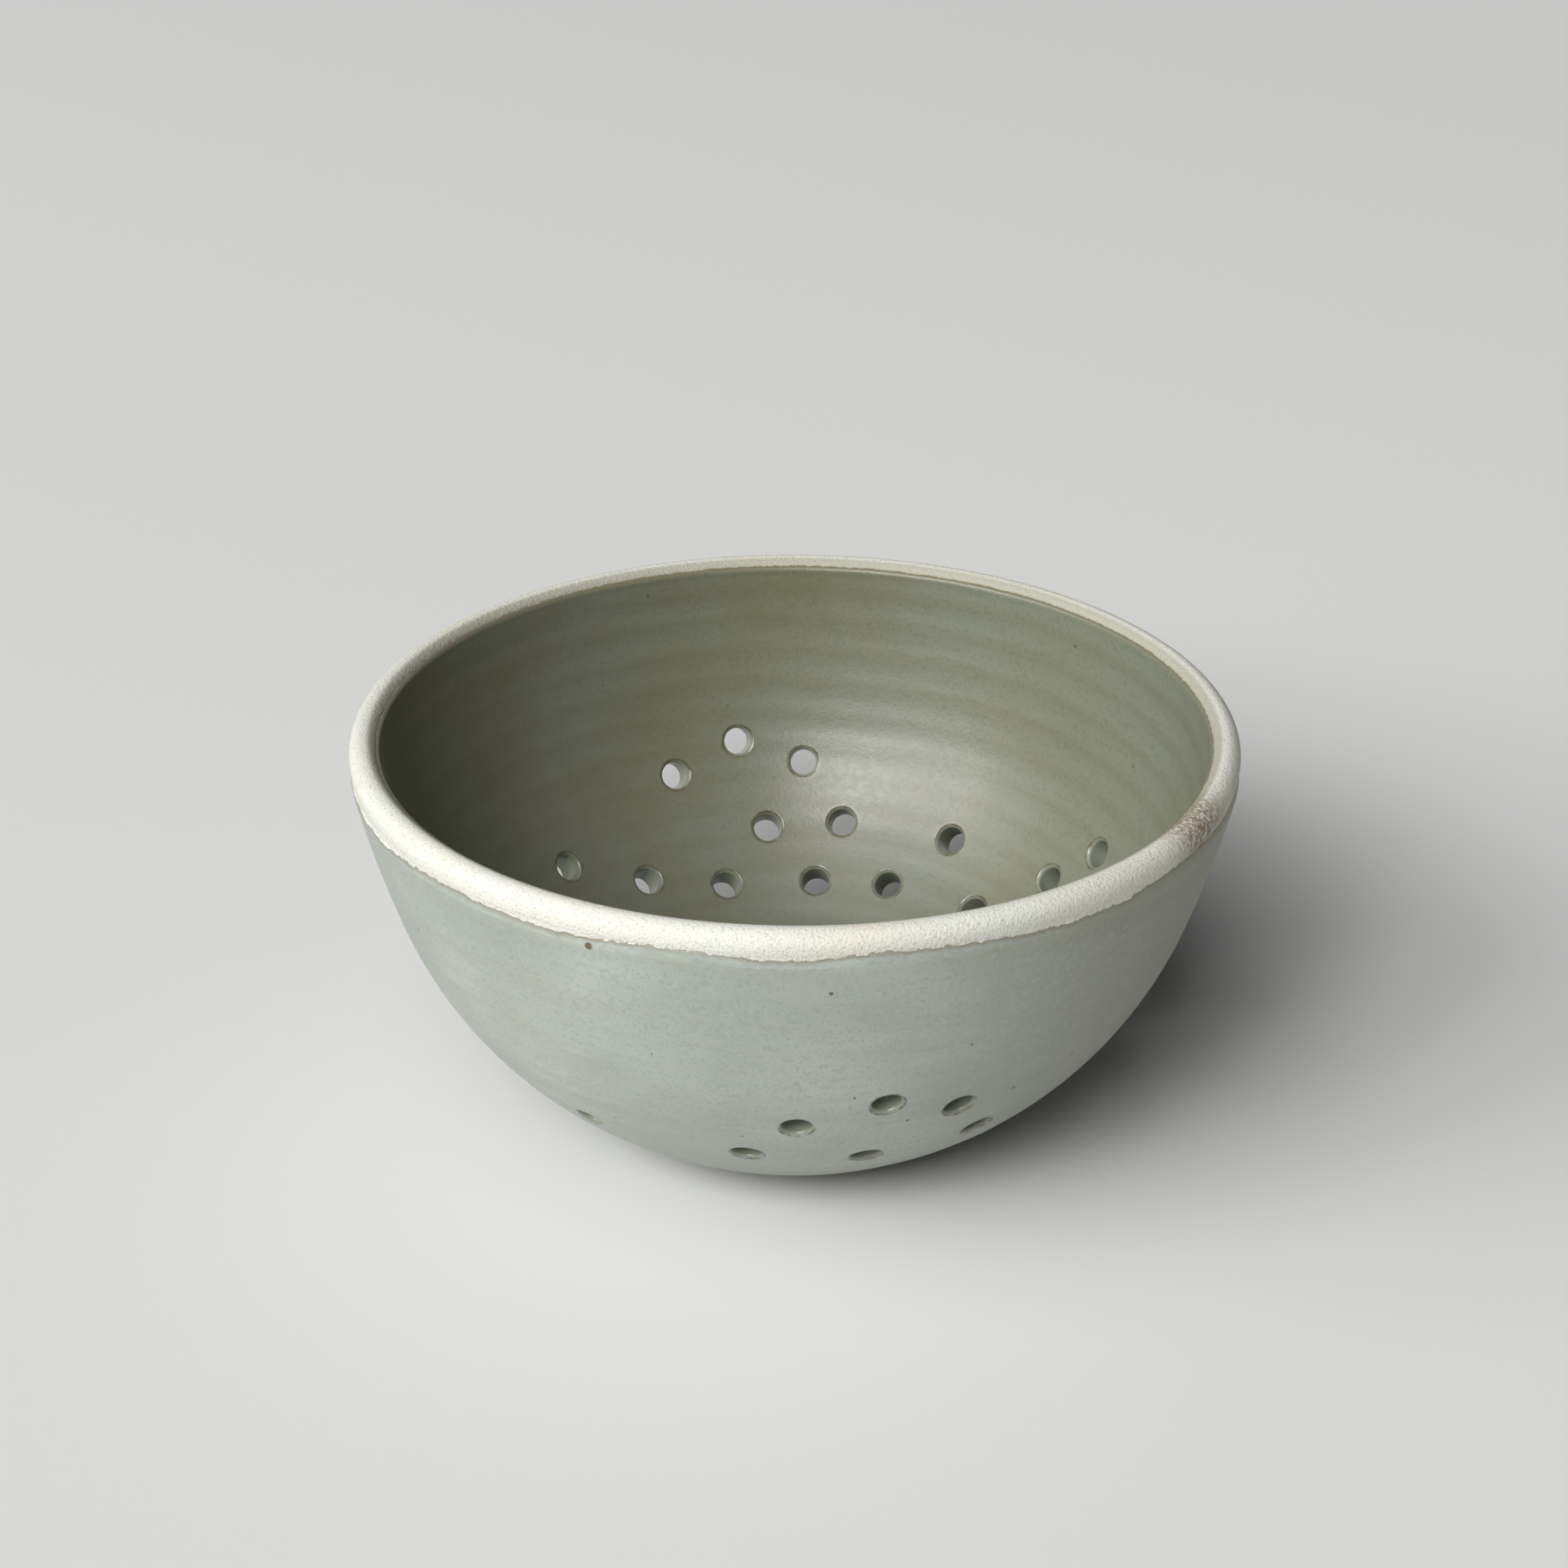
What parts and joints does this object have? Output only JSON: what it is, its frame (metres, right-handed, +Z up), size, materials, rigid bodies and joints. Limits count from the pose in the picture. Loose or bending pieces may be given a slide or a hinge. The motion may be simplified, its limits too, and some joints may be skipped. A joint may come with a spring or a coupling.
{
  "type": "berry colander bowl",
  "caption": "Round thrown stoneware bowl with a bare clay rim, glazed wall pierced with drain holes, and a notched foot ring.",
  "frame": {"origin": "middle of the foot ring, on the standing plane", "axes": "+Z up through the mouth, -Y towards the front of the bowl, +X to its right as seen from the front"},
  "size_m": [0.168, 0.168, 0.081],
  "materials": {
    "bare_stoneware": "bare, fine sandy clay with dark specks",
    "celadon_glaze": "satin grey-green glaze",
    "olive_celadon_glaze": "satin olive-green glaze over throwing rings",
    "iron_break_glaze": "glossy brown where the glaze thins over iron at an edge"
  },
  "bodies": {
    "root": {"clay_body": "bare_stoneware", "outer_glaze": "celadon_glaze", "inner_glaze": "olive_celadon_glaze", "drain_hole_glaze": "iron_break_glaze"}
  },
  "joints": []
}
